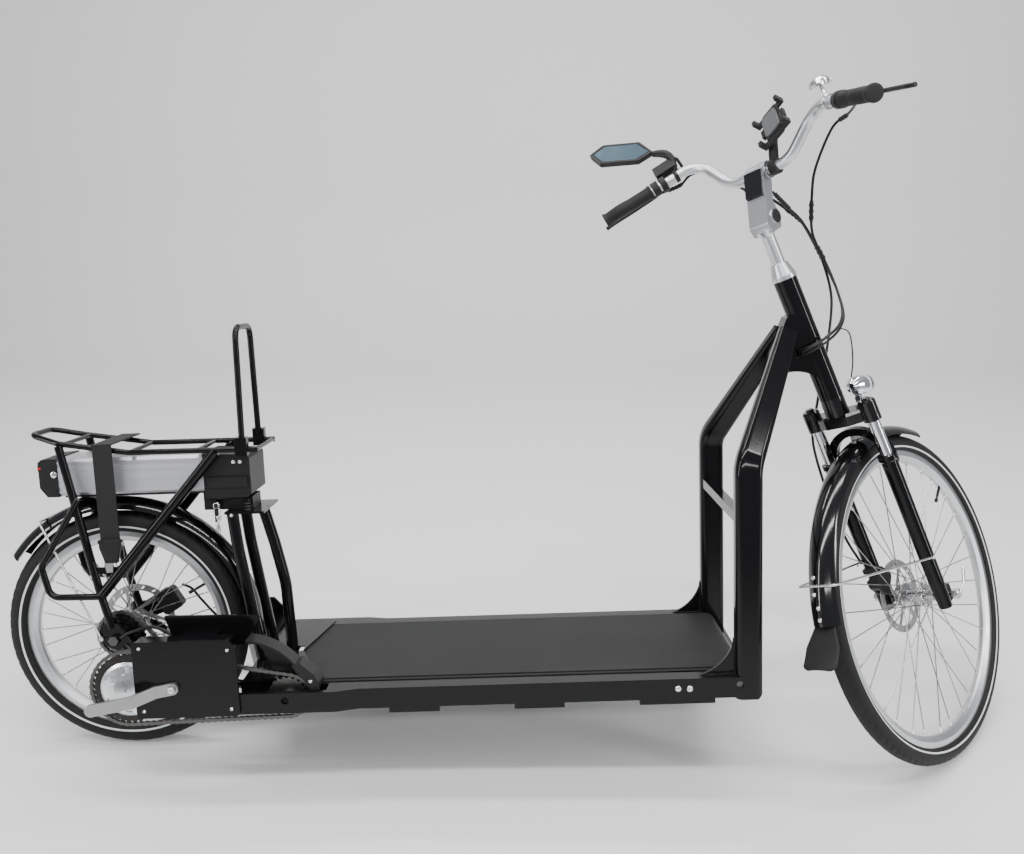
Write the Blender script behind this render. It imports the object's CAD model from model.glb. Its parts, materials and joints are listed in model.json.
"""Dresses the parked electric walking bike with finishes, treaded tyres, cables and small fittings.

Blender's lengths are metres, and so are those in the finishes and the studio. The deck's axes and the
steered axes are worked out from the frame's joints, and pieces are drawn in them in millimetres, so each
new piece lies where the solids have its place.
"""
from __future__ import annotations

import json
import logging
import math
from dataclasses import dataclass
from enum import Enum

import bmesh
import bpy
import numpy as np
from numpy.typing import ArrayLike
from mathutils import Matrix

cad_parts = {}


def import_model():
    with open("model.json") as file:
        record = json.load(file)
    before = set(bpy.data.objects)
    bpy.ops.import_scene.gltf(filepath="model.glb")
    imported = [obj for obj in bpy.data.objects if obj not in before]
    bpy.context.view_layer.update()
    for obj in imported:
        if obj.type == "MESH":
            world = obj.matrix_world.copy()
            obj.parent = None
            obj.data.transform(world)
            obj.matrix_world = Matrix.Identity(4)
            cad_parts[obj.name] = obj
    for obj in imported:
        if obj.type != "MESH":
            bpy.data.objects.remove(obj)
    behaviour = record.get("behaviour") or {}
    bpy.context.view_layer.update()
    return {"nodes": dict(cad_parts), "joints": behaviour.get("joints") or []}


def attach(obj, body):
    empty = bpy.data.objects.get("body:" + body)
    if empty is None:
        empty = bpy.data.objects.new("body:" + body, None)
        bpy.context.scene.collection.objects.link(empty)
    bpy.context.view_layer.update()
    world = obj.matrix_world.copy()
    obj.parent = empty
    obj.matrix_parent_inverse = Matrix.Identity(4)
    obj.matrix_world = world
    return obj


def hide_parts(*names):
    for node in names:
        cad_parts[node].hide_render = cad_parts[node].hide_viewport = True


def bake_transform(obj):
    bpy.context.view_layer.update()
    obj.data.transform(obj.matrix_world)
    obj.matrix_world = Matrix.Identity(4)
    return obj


LOG = logging.getLogger("walking_bike")
FULL_TURN = 2.0 * math.pi
METRES_IN_A_MILLIMETRE = 0.001

# The steering axis: its angle from the deck, and how far the front axle lies before it, in metres
HEAD_ANGLE = math.radians(68.3)
FORK_OFFSET = 0.025

# Vertices closer than this, in metres, are merged when a piece is welded
WELD_DISTANCE = 2e-6

# Two directions whose cross product is shorter than this count as parallel
NEARLY_PARALLEL = 0.05

# Values that several finishes share
PAINT_BLACK = (0.0035, 0.0035, 0.004)
PAINT_GRAIN = 150.0
PAINT_IOR = 1.31
RUBBER_IOR = 1.36


class Body(Enum):
    """The rigid bodies that the new pieces ride on."""

    FRAME = "frame"
    REAR_WHEEL = "rear_wheel_body"
    STEERING = "steering"
    FRONT_WHEEL = "front_wheel_body"


@dataclass(frozen=True)
class Axes:
    """A set of right-angled axes in the bike's world.

    Attributes:
        origin: where the axes start, in metres.
        matrix: three columns, the directions of the local X, Y and Z.
    """

    origin: np.ndarray
    matrix: np.ndarray

    def place(self, points: np.ndarray) -> np.ndarray:
        """Moves local points to the world.

        Args:
            points: an array in millimetres whose last axis is X, Y, Z.

        Returns:
            The points in world metres, each origin + matrix times point.
        """
        return self.origin + METRES_IN_A_MILLIMETRE * np.asarray(points, float) @ self.matrix.T


@dataclass(frozen=True)
class BikeAxes:
    """The sets of axes that the bike is drawn in. The rear wheel's are the deck's."""

    deck: Axes
    steered: Axes
    rear_wheel: Axes
    front_wheel: Axes

    @staticmethod
    def from_joints(joints: list) -> "BikeAxes":
        """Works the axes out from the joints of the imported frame.

        Args:
            joints: the frame's joints, with pos_m and axis.

        Returns:
            The axes of the deck, the steered assembly and both wheels.
        """
        found = {joint["name"]: joint for joint in joints}
        rear = np.array(found["rear_wheel_spin"]["pos_m"])
        front = np.array(found["front_wheel_spin"]["pos_m"])
        left = np.array(found["rear_wheel_spin"]["axis"])
        steered_left = np.array(found["front_wheel_spin"]["axis"])
        up_axis = np.array(found["steering_turn"]["axis"])
        forward = np.cross(left, up_axis)
        deck_x = math.sin(HEAD_ANGLE) * forward - math.cos(HEAD_ANGLE) * up_axis
        deck_z = math.cos(HEAD_ANGLE) * forward + math.sin(HEAD_ANGLE) * up_axis
        steered_x = np.cross(steered_left, up_axis)
        deck = Axes(rear, np.column_stack([deck_x, left, deck_z]))
        turned = np.column_stack([steered_x, steered_left, up_axis])
        steered = Axes(front - FORK_OFFSET * steered_x, turned)
        return BikeAxes(deck, steered, deck, Axes(front, turned))


class Sock:
    """A shader value that can be used in Python sums; each operator adds its Math node."""

    def __init__(self, tree: "Shader", link: object) -> None:
        """Wraps one output of a node in the tree."""
        self.tree = tree
        self.link = link

    def _math(self, operation: str, *values: object) -> "Sock":
        """Adds a Math node with that operation on the given values."""
        return self.tree.node("ShaderNodeMath", {"operation": operation}, list(values))

    def __add__(self, other: object) -> "Sock":
        """Sum."""
        return self._math("ADD", self, other)

    __radd__ = __add__

    def __mul__(self, other: object) -> "Sock":
        """Product."""
        return self._math("MULTIPLY", self, other)

    __rmul__ = __mul__

    def __sub__(self, other: object) -> "Sock":
        """Difference."""
        return self._math("SUBTRACT", self, other)

    def __rsub__(self, other: object) -> "Sock":
        """Difference with the number first."""
        return self._math("SUBTRACT", other, self)

    def __gt__(self, other: object) -> "Sock":
        """1 where greater, else 0."""
        return self._math("GREATER_THAN", self, other)

    def __lt__(self, other: object) -> "Sock":
        """1 where less, else 0."""
        return self._math("LESS_THAN", self, other)

    def __abs__(self) -> "Sock":
        """Size without its sign."""
        return self._math("ABSOLUTE", self)

    def __pow__(self, other: object) -> "Sock":
        """Power."""
        return self._math("POWER", self, other)

    def sin(self) -> "Sock":
        """Sine, in radians."""
        return self._math("SINE", self)

    def clamp(self, low: float, high: float) -> "Sock":
        """The value kept between low and high."""
        return self._math("MINIMUM", self._math("MAXIMUM", self, low), high)


class Shader:
    """One material's node tree, with short ways to add nodes and to finish it."""

    def __init__(self, name: str) -> None:
        """Makes an empty node material.

        Args:
            name: the material's name.
        """
        self.material = bpy.data.materials.new(name)
        self.material.use_nodes = True
        self.nodes = self.material.node_tree.nodes
        self.links = self.material.node_tree.links
        self.nodes.clear()
        self.output = self.nodes.new("ShaderNodeOutputMaterial")
        self.surface = self.nodes.new("ShaderNodeBsdfPrincipled")
        self.links.new(self.surface.outputs[0], self.output.inputs["Surface"])

    def node(self, kind: str, settings: dict, values: object = None, output: int | str = 0) -> Sock:
        """Adds any node.

        Args:
            kind: the node's type name.
            settings: attributes, which are set first.
            values: a list in the order of the inputs, or a dict by an input's name or number.
            output: which output to return.

        Returns:
            The chosen output.
        """
        made = self.nodes.new(kind)
        for key, value in settings.items():
            setattr(made, key, value)
        pairs = values.items() if isinstance(values, dict) else enumerate(values or [])
        for key, value in pairs:
            self.feed(made.inputs[key], value)
        return Sock(self, made.outputs[output])

    def feed(self, socket: bpy.types.NodeSocket, value: object) -> None:
        """Links a Sock to an input, or sets a plain value on it.

        Args:
            socket: the node's input.
            value: a Sock, a number, a vector or a colour of three.
        """
        if isinstance(value, Sock):
            self.links.new(value.link, socket)
        elif hasattr(value, "__len__") and len(value) == 3 and socket.type == "RGBA":
            socket.default_value = (*value, 1.0)
        else:
            socket.default_value = value

    def set(self, name: str, value: object) -> None:
        """Sets or links the surface's input of that name."""
        self.feed(self.surface.inputs[name], value)

    def object_point(self, scale: tuple = (1.0, 1.0, 1.0)) -> Sock:
        """The point on the object, stretched by scale."""
        point = self.node("ShaderNodeTexCoord", {}, None, "Object")
        return self.node("ShaderNodeMapping", {}, {"Vector": point, "Scale": scale})

    def local(self, axes: Axes) -> tuple[Sock, Sock, Sock]:
        """The point's X, Y and Z in a set of axes: each is direction times (point - origin).

        Args:
            axes: the axes that the values are measured in.

        Returns:
            Three values in metres.
        """
        point = self.node("ShaderNodeTexCoord", {}, None, "Object")
        values = []
        for direction in axes.matrix.T:
            inputs = [point, tuple(direction)]
            along = self.node("ShaderNodeVectorMath", {"operation": "DOT_PRODUCT"}, inputs, "Value")
            values.append(along - float(axes.origin @ direction))
        return values[0], values[1], values[2]

    def noise(self, scale: float, detail: float = 3.0, roughness: float = 0.55,
              point: Sock | None = None) -> Sock:
        """A noise value between 0 and 1.

        Args:
            scale: how many of its lumps lie along a metre.
            detail: how many finer layers it has.
            roughness: how strong the finer layers are.
            point: where it is read, or None for the object's own coordinates.

        Returns:
            The value.
        """
        place = point or self.object_point()
        values = {"Vector": place, "Scale": scale, "Detail": detail, "Roughness": roughness}
        return self.node("ShaderNodeTexNoise", {}, values, 0)

    def mix(self, factor: object, first: object, second: object) -> Sock:
        """A colour between two.

        Args:
            factor: 0 for the first colour, 1 for the second.
            first: a colour or a Sock.
            second: a colour or a Sock.

        Returns:
            The mixed colour.
        """
        values = {0: factor, 6: first, 7: second}
        return self.node("ShaderNodeMix", {"data_type": "RGBA"}, values, 2)

    def bump(self, height: Sock, distance: float, strength: float = 1.0) -> None:
        """Feeds a height to the surface's normal; distance is its depth in metres."""
        values = {"Height": height, "Distance": distance, "Strength": strength}
        self.set("Normal", self.node("ShaderNodeBump", {}, values))


def band(value: Sock, low: float, high: float) -> Sock:
    """1 where the value lies between low and high, else 0."""
    return (value > low) * (value < high)


def length_of(first: Sock, second: Sock) -> Sock:
    """The length of two values at right angles: the root of the sum of their squares."""
    return (first * first + second * second) ** 0.5


class Finish:
    """A finish with a name of its own. Each kind paints its surface in its own way."""

    name: str

    def build(self) -> bpy.types.Material:
        """Makes the material.

        Returns:
            The material, with the surface that this kind paints.
        """
        shader = Shader(self.name)
        self.paint(shader)
        return shader.material

    def paint(self, shader: Shader) -> None:
        """Feeds the shader's surface; each kind replaces this."""
        raise NotImplementedError


@dataclass(frozen=True)
class GlossPaint(Finish):
    """Deep gloss powder paint with faint orange peel and fine dust."""

    name: str = "gloss_black_paint"
    colour: tuple = PAINT_BLACK
    dust: tuple = (0.03, 0.029, 0.027)

    def paint(self, shader: Shader) -> None:
        """Paints black with a little dust and orange peel.

        Args:
            shader: the material to paint.
        """
        cloud = shader.noise(9.0, 4.0)
        fine = shader.noise(900.0, 2.0)
        dusty = ((cloud - 0.5) * 2.0).clamp(0.0, 1.0) * 0.05
        shader.set("Base Color", shader.mix(dusty, self.colour, self.dust))
        shader.set("Roughness", 0.07 + cloud * 0.08 + fine * 0.03)
        shader.set("IOR", PAINT_IOR)
        shader.bump(shader.noise(PAINT_GRAIN, 1.0), 0.00005, 0.35)


@dataclass(frozen=True)
class Metal(Finish):
    """A bare or anodised metal with fine scratches and a cloudy sheen."""

    name: str
    colour: tuple = (0.62, 0.63, 0.65)
    roughness: float = 0.28
    scratches: float = 0.25

    def paint(self, shader: Shader) -> None:
        """Paints a cloudy metal with long fine scratches.

        Args:
            shader: the material to paint.
        """
        cloud = shader.noise(22.0, 4.0)
        long_point = shader.object_point((40.0, 40.0, 900.0))
        lines = shader.noise(1.0, 3.0, 0.7, long_point)
        darker = tuple(channel * 0.72 for channel in self.colour)
        shader.set("Base Color", shader.mix(cloud * 0.5, self.colour, darker))
        shader.set("Metallic", 1.0)
        shader.set("Roughness", self.roughness - 0.06 + cloud * 0.12 + lines * 0.05)
        shader.bump(lines, 0.00004, self.scratches)


@dataclass(frozen=True)
class Plastic(Finish):
    """Moulded plastic or rubber with a fine grain."""

    name: str
    colour: tuple = (0.006, 0.006, 0.0065)
    roughness: float = 0.46
    grain: float = 700.0
    depth: float = 0.00008

    def paint(self, shader: Shader) -> None:
        """Paints a cloudy colour over a fine grain.

        Args:
            shader: the material to paint.
        """
        cloud = shader.noise(14.0, 4.0)
        grain = shader.noise(self.grain, 2.0)
        lighter = tuple(channel * 1.6 + 0.001 for channel in self.colour)
        shader.set("Base Color", shader.mix(cloud * 0.6, self.colour, lighter))
        shader.set("Roughness", self.roughness - 0.05 + cloud * 0.12)
        shader.set("IOR", RUBBER_IOR)
        shader.bump(grain, self.depth, 0.6)


@dataclass(frozen=True)
class BeltRubber(Finish):
    """The walking belt: a dull woven rubber with a fine lattice, scuffed in long faint streaks."""

    axes: Axes
    name: str = "walking_belt_rubber"
    colour: tuple = (0.008, 0.008, 0.0085)
    worn_colour: tuple = (0.022, 0.022, 0.0225)
    weave: float = 2100.0

    def paint(self, shader: Shader) -> None:
        """Paints a lattice of crossed sines under streaks along the belt.

        Args:
            shader: the material to paint.
        """
        x, y, _ = shader.local(self.axes)
        cloud = shader.noise(4.0, 5.0)
        streak_point = shader.object_point((3.0, 34.0, 3.0))
        streaks = shader.noise(2.0, 5.0, 0.6, streak_point)
        worn = ((streaks + cloud - 0.9) * 1.6).clamp(0.0, 1.0)
        shader.set("Base Color", shader.mix(worn, self.colour, self.worn_colour))
        shader.set("IOR", RUBBER_IOR)
        shader.set("Roughness", 0.5 + cloud * 0.14 + streaks * 0.1)
        lattice = ((x + y) * self.weave).sin() * ((x - y) * self.weave).sin()
        shader.bump(lattice * 0.5 + shader.noise(900.0, 2.0), 0.00016, 0.7)


@dataclass(frozen=True)
class WheelMetal(Finish):
    """A wheel's one solid: satin rim with machined sides, bright spokes, hub, steel rotor and dark cogs.

    Attributes:
        name: the material's name.
        axes: the wheel's axes.
        rim_inner: the radius where the rim starts.
        rotor_y: the rotor's middle along the axle.
        has_cogs: 1 where the wheel has cogs on its right, else 0.
        rotor_radii: the rotor's inner and outer radius.
        rotor_half: half the rotor's thickness.
        cog_radii: the cogs' inner and outer radius.
        cog_side_y: the cogs lie on the right of this place along the axle.
        hub_radius: the radius where the spokes leave the hub.
    """

    name: str
    axes: Axes
    rim_inner: float
    rotor_y: float
    has_cogs: float = 1.0
    rotor_radii: tuple = (0.0155, 0.083)
    rotor_half: float = 0.002
    cog_radii: tuple = (0.018, 0.062)
    cog_side_y: float = -0.034
    hub_radius: float = 0.03

    def paint(self, shader: Shader) -> None:
        """Paints each zone, chosen by the radius from the axle and the distance along it.

        Args:
            shader: the material to paint.
        """
        x, y, z = shader.local(self.axes)
        radius = length_of(x, z)
        rim = radius > self.rim_inner
        beside = band(y, self.rotor_y - self.rotor_half, self.rotor_y + self.rotor_half)
        rotor = band(radius, *self.rotor_radii) * beside
        cogs = band(radius, *self.cog_radii) * (y < self.cog_side_y) * self.has_cogs
        rings = (radius * 2600.0).sin() * 0.5 + 0.5
        cloud = shader.noise(30.0, 4.0)
        spoke = band(radius, self.hub_radius, self.rim_inner) * (1 - rotor)
        colour = shader.mix(rim, (0.5, 0.5, 0.51), (0.66, 0.67, 0.69))
        colour = shader.mix(spoke, colour, (0.3, 0.3, 0.31))
        colour = shader.mix(rotor, colour, (0.42, 0.41, 0.4))
        colour = shader.mix(cogs, colour, (0.07, 0.068, 0.065))
        shader.set("Base Color", shader.mix(cloud * 0.35, colour, (0.3, 0.3, 0.3)))
        shader.set("Metallic", 1.0)
        shader.set("Roughness", 0.2 + rim * 0.1 + cloud * 0.12 + rotor * 0.08)
        shader.bump(rings * (rim + rotor), 0.00003, 0.5)


@dataclass(frozen=True)
class TyreRubber(Finish):
    """Black tyre rubber with a white reflecting stripe round each side."""

    name: str
    axes: Axes
    stripe_inner: float
    stripe_outer: float

    def paint(self, shader: Shader) -> None:
        """Paints rubber, and the stripe between two radii from the axle.

        Args:
            shader: the material to paint.
        """
        x, _, z = shader.local(self.axes)
        radius = length_of(x, z)
        stripe = band(radius, self.stripe_inner, self.stripe_outer)
        cloud = shader.noise(18.0, 5.0)
        dust = ((cloud - 0.45) * 2.0).clamp(0.0, 1.0) * 0.5
        rubber = shader.mix(dust, (0.006, 0.006, 0.0062), (0.02, 0.0195, 0.0185))
        shader.set("Base Color", shader.mix(stripe, rubber, (0.62, 0.63, 0.64)))
        shader.set("Roughness", 0.6 + cloud * 0.15 - stripe * 0.2)
        shader.set("IOR", RUBBER_IOR)
        shader.bump(shader.noise(700.0, 2.0) * (1 - stripe), 0.00012, 0.6)


@dataclass(frozen=True)
class ForkFinish(Finish):
    """The fork: black crown and steerer, chromed stanchions where the legs are thin."""

    axes: Axes
    name: str = "fork_paint_and_chrome"
    leg_x: float = 0.008
    leg_y: float = 0.066
    chrome_radius: float = 0.0129
    crown_z: float = 0.4185

    def paint(self, shader: Shader) -> None:
        """Paints black, and chrome within a radius of each leg's axis below the crown.

        Args:
            shader: the material to paint.
        """
        x, y, z = shader.local(self.axes)
        reach = length_of(x - self.leg_x, abs(y) - self.leg_y)
        chrome = (reach < self.chrome_radius) * (z < self.crown_z)
        cloud = shader.noise(12.0, 4.0)
        shader.set("Base Color", shader.mix(chrome, PAINT_BLACK, (0.8, 0.8, 0.82)))
        shader.set("Metallic", chrome)
        shader.set("Roughness", 0.1 + cloud * 0.08 - chrome * 0.04)
        shader.bump(shader.noise(PAINT_GRAIN, 1.0), 0.00005, 0.25)


@dataclass(frozen=True)
class CrankFinish(Finish):
    """The crank set: a bright spun cover over dark toothed steel."""

    axes: Axes
    name: str = "crank_steel"
    centre_x: float = 0.070
    centre_z: float = -0.062
    cover_radius: float = 0.0565
    cover_y: float = -0.1912

    def paint(self, shader: Shader) -> None:
        """Paints dark steel, and the bright cover within its radius outside the toothed ring.

        Args:
            shader: the material to paint.
        """
        x, y, z = shader.local(self.axes)
        radius = length_of(x - self.centre_x, z - self.centre_z)
        cover = (radius < self.cover_radius) * (y < self.cover_y)
        grease = shader.noise(60.0, 4.0)
        spun = (radius * 5200.0).sin() * 0.5 + 0.5
        steel = shader.mix(grease, (0.02, 0.019, 0.018), (0.07, 0.066, 0.062))
        shader.set("Base Color", shader.mix(cover, steel, (0.7, 0.71, 0.73)))
        shader.set("Metallic", 1.0)
        shader.set("Roughness", 0.4 - cover * 0.18 + grease * 0.1)
        shader.bump(spun * cover, 0.00004, 0.5)


@dataclass(frozen=True)
class MudguardFinish(Finish):
    """A mudguard's gloss black shell with its bright wire stay."""

    name: str
    axes: Axes
    outer: float
    clearance: float = 0.0007
    half_width: float = 0.0306

    def paint(self, shader: Shader) -> None:
        """Paints black, and the wire outside the shell's radius or beyond its sides.

        Args:
            shader: the material to paint.
        """
        x, y, z = shader.local(self.axes)
        radius = length_of(x, z)
        wire = ((radius > self.outer + self.clearance) + (abs(y) > self.half_width)).clamp(0.0, 1.0)
        cloud = shader.noise(9.0, 4.0)
        shader.set("Base Color", shader.mix(wire, PAINT_BLACK, (0.62, 0.62, 0.62)))
        shader.set("Metallic", wire)
        shader.set("Roughness", 0.07 + cloud * 0.08 + wire * 0.14)
        shader.bump(shader.noise(PAINT_GRAIN, 1.0), 0.00004, 0.25)


@dataclass(frozen=True)
class BatteryAlloy(Finish):
    """The battery's drawn silver body, with fine lines along it."""

    axes: Axes
    name: str = "battery_alloy"

    def paint(self, shader: Shader) -> None:
        """Paints fine waves across the drawing direction.

        Args:
            shader: the material to paint.
        """
        _, _, z = shader.local(self.axes)
        cloud = shader.noise(10.0, 4.0)
        lines = shader.noise(2.0, 4.0, 0.7, shader.object_point((4.0, 300.0, 300.0)))
        shader.set("Base Color", shader.mix(cloud * 0.4, (0.68, 0.68, 0.71), (0.56, 0.56, 0.59)))
        shader.set("Metallic", 0.85)
        shader.set("Roughness", 0.34 + lines * 0.1)
        shader.bump(lines + (z * 9000.0).sin() * 0.3, 0.00003, 0.4)


@dataclass(frozen=True)
class ClearPart(Finish):
    """Clear or tinted glass and lens plastic."""

    name: str
    colour: tuple
    roughness: float
    transmission: float

    def paint(self, shader: Shader) -> None:
        """Paints a clear body with the faintest cloud.

        Args:
            shader: the material to paint.
        """
        cloud = shader.noise(25.0, 3.0)
        shader.set("Base Color", self.colour)
        shader.set("Roughness", self.roughness + cloud * 0.04)
        shader.set("Transmission Weight", self.transmission)
        shader.set("IOR", 1.45)
        shader.bump(cloud, 0.00002, 0.2)


@dataclass(frozen=True)
class Studio:
    """The floor, the lights and the camera at the photograph's viewing angle.

    Attributes:
        camera_place: where the camera stands.
        camera_turn_deg: its turns about X, Y and Z.
        lens_mm: its focal length.
        sensor_mm: its sensor's width.
        shift: how far its frame is shifted, across and up.
        floor_size: the length and width of the floor.
        floor_colour: the floor's colour.
        floor_roughness: the floor's roughness.
        curve_start: the Y where it starts to curve up.
        curve_radius: the radius of that curve.
        curve_steps: how many points the curve has.
        backdrop_top: how high it rises behind the bike.
        sky_colour: the colour of the light from all round.
        sky_strength: how strong that light is.
        lights: each light's name, place, turns, size and power.
    """

    camera_place: tuple = (-0.0246, -1.8902, 1.4069)
    camera_turn_deg: tuple = (69.333, 0.0678, 0.0224)
    lens_mm: float = 33.261
    sensor_mm: float = 36.0
    shift: tuple = (-0.00278, -0.00249)
    floor_size: float = 14.0
    floor_colour: tuple = (0.78, 0.78, 0.77)
    floor_roughness: float = 0.55
    curve_start: float = 2.6
    curve_radius: float = 0.8
    curve_steps: int = 24
    backdrop_top: float = 5.0
    sky_colour: tuple = (0.92, 0.95, 1.0, 1.0)
    sky_strength: float = 0.4
    lights: tuple = (
        ("top_tube_front", (0.1, -1.35, 3.3), (18.0, 0.0, 0.0), (4.2, 0.16), 78.0),
        ("top_tube_middle", (0.1, 0.0, 3.5), (0.0, 0.0, 0.0), (4.2, 0.3), 78.0),
        ("top_tube_rear", (0.1, 1.35, 3.3), (-18.0, 0.0, 0.0), (4.2, 0.16), 60.0),
        ("left_strip", (-3.4, -1.6, 1.9), (66.0, 0.0, -64.0), (0.2, 2.8), 60.0),
        ("right_strip", (3.6, -1.4, 1.8), (66.0, 0.0, 68.0), (0.2, 2.8), 60.0),
        ("front_strip", (0.4, -3.4, 2.8), (50.0, 0.0, 4.0), (3.2, 0.14), 50.0),
    )

    def build(self) -> None:
        """Makes the camera first, then the floor, the backdrop and the lights."""
        data = bpy.data.cameras.new("camera")
        data.sensor_width = self.sensor_mm
        data.sensor_fit = "HORIZONTAL"
        data.lens = self.lens_mm
        data.shift_x, data.shift_y = self.shift
        camera = bpy.data.objects.new("camera", data)
        camera.location = self.camera_place
        camera.rotation_euler = [math.radians(angle) for angle in self.camera_turn_deg]
        bpy.context.scene.collection.objects.link(camera)
        bpy.context.scene.camera = camera
        self._floor()
        self._lights()

    def _floor(self) -> None:
        """A pale sheet that curves up behind the bike: z rises on a quarter circle, then straight."""
        angle = np.linspace(0.0, math.pi / 2, self.curve_steps)
        rise = self.curve_start + self.curve_radius * np.sin(angle)
        y = np.concatenate([[-self.floor_size / 2], rise, [self.curve_start + self.curve_radius]])
        z = np.concatenate([[0.0], self.curve_radius * (1.0 - np.cos(angle)), [self.backdrop_top]])
        x = np.array([-self.floor_size / 2, self.floor_size / 2])
        grid = np.stack(np.broadcast_arrays(x[:, None], y[None, :], z[None, :]), axis=-1)
        floor = make_object("floor", *grid_mesh(grid))
        shader = Shader("pale_floor")
        shader.set("Base Color", self.floor_colour)
        shader.set("Roughness", self.floor_roughness)
        floor.data.materials.append(shader.material)

    def _lights(self) -> None:
        """Long tubes above, a strip on each side and in front, and a pale sky."""
        for name, place, turn, size, watts in self.lights:
            data = bpy.data.lights.new(name, "AREA")
            data.shape = "RECTANGLE"
            data.size, data.size_y = size
            data.energy = watts
            light = bpy.data.objects.new(name, data)
            light.location = place
            light.rotation_euler = [math.radians(angle) for angle in turn]
            bpy.context.scene.collection.objects.link(light)
        world = bpy.data.worlds.new("studio_world")
        world.use_nodes = True
        sky = world.node_tree.nodes["Background"]
        sky.inputs["Color"].default_value = self.sky_colour
        sky.inputs["Strength"].default_value = self.sky_strength
        bpy.context.scene.world = world


def grid_mesh(grid: np.ndarray, close_rows: bool = False, close_columns: bool = False,
              caps: bool = False) -> tuple[np.ndarray, list]:
    """Makes a mesh from a grid of points: each cell of the grid is one four-sided face.

    Args:
        grid: points of shape (rows, columns, 3).
        close_rows: whether the last row joins the first.
        close_columns: whether the last column joins the first.
        caps: whether the first and last rows are filled.

    Returns:
        The vertices and the faces.
    """
    rows, columns = grid.shape[:2]
    first = np.arange(rows if close_rows else rows - 1)
    second = np.arange(columns if close_columns else columns - 1)
    i, j = np.meshgrid(first, second, indexing="ij")
    i_next = (i + 1) % rows
    j_next = (j + 1) % columns
    cells = [i * columns + j, i * columns + j_next, i_next * columns + j_next, i_next * columns + j]
    faces = np.stack(cells, axis=-1).reshape(-1, 4).tolist()
    if caps:
        faces.append(list(range(columns))[::-1])
        faces.append([(rows - 1) * columns + k for k in range(columns)])
    return grid.reshape(-1, 3), faces


def make_object(name: str, points: np.ndarray, faces: list, smooth: bool = True,
                weld: bool = False) -> bpy.types.Object:
    """Makes a mesh object from vertices and faces.

    Args:
        name: the piece's name.
        points: the vertices in world metres.
        faces: lists of vertex numbers.
        smooth: whether faces are shaded smooth.
        weld: whether doubles are merged and the normals of the closed mesh turned outwards.

    Returns:
        The object, at the origin.
    """
    mesh = bpy.data.meshes.new(name)
    mesh.from_pydata(np.asarray(points, float).tolist(), [], faces)
    if weld:
        grown = bmesh.new()
        grown.from_mesh(mesh)
        bmesh.ops.remove_doubles(grown, verts=grown.verts, dist=WELD_DISTANCE)
        bmesh.ops.recalc_face_normals(grown, faces=grown.faces)
        grown.to_mesh(mesh)
        grown.free()
    mesh.polygons.foreach_set("use_smooth", [smooth] * len(mesh.polygons))
    mesh.update()
    made = bpy.data.objects.new(name, mesh)
    bpy.context.scene.collection.objects.link(made)
    return made


def smooth_line(points: ArrayLike, count: int) -> np.ndarray:
    """Points along a smooth line: a cubic that passes each given point with its neighbours' slope.

    Args:
        points: the points passed through, in millimetres.
        count: how many points come back.

    Returns:
        An array of count points.
    """
    points = np.asarray(points, float)
    padded = np.concatenate([2 * points[:1] - points[1:2], points, 2 * points[-1:] - points[-2:-1]])
    place = np.linspace(0.0, len(points) - 1.0, count)
    start = np.minimum(place.astype(int), len(points) - 2)
    share = (place - start)[:, None]
    p0, p1, p2, p3 = (padded[start + step] for step in range(4))
    cubic = (3.0 * (p1 - p2) + p3 - p0) * share ** 3
    square = (2.0 * p0 - 5.0 * p1 + 4.0 * p2 - p3) * share ** 2
    return 0.5 * (2.0 * p1 + (p2 - p0) * share + square + cubic)


def unit(vectors: ArrayLike) -> np.ndarray:
    """Each vector divided by its length."""
    vectors = np.asarray(vectors, float)
    return vectors / np.linalg.norm(vectors, axis=-1, keepdims=True)


def angles_round(count: int) -> np.ndarray:
    """That many angles once round, evenly spaced from 0."""
    return np.linspace(0.0, FULL_TURN, count, endpoint=False)


def softened(values: np.ndarray, power: float) -> np.ndarray:
    """The values' sizes to the power, with their signs kept."""
    return np.sign(values) * np.abs(values) ** power


def facing(direction: ArrayLike, reference: ArrayLike = (0.0, 0.0, 1.0)) -> np.ndarray:
    """Right-angled columns that face a direction.

    Args:
        direction: where the last column points.
        reference: the first column is square to it and to the direction.

    Returns:
        A matrix of three columns.
    """
    third = unit(direction)
    first = np.cross(np.asarray(reference, float), third)
    if np.linalg.norm(first) < NEARLY_PARALLEL:
        first = np.cross((1.0, 0.0, 0.0), third)
    first = unit(first)
    return np.column_stack([first, np.cross(third, first), third])


def tube_grid(line: np.ndarray, radius: ArrayLike, sides: int = 10) -> np.ndarray:
    """Rings round a line: each point plus radius times (side cos t + other sin t), square to the line.

    Args:
        line: the points along the middle.
        radius: one radius, or one for each point.
        sides: how many points a ring has.

    Returns:
        A grid with one row for each ring.
    """
    tangent = unit(np.gradient(line, axis=0))
    reference = np.array([0.31, 0.22, 0.93])
    side = unit(np.cross(tangent, reference))
    other = np.cross(side, tangent)
    turn = angles_round(sides)[None, :, None]
    ring = side[:, None] * np.cos(turn) + other[:, None] * np.sin(turn)
    size = np.broadcast_to(np.asarray(radius, float), (len(line),))
    return line[:, None] + size[:, None, None] * ring


def turned_grid(profile: ArrayLike, sides: int = 20) -> np.ndarray:
    """A shape turned about Z: (r cos t, r sin t, h).

    Args:
        profile: rows of radius r and height h.
        sides: how many points go round.

    Returns:
        A grid with one row for each row of the profile.
    """
    profile = np.asarray(profile, float)
    turn = angles_round(sides)
    radius, height = profile[:, :1], profile[:, 1:]
    return np.stack(np.broadcast_arrays(radius * np.cos(turn), radius * np.sin(turn), height), -1)


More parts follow.
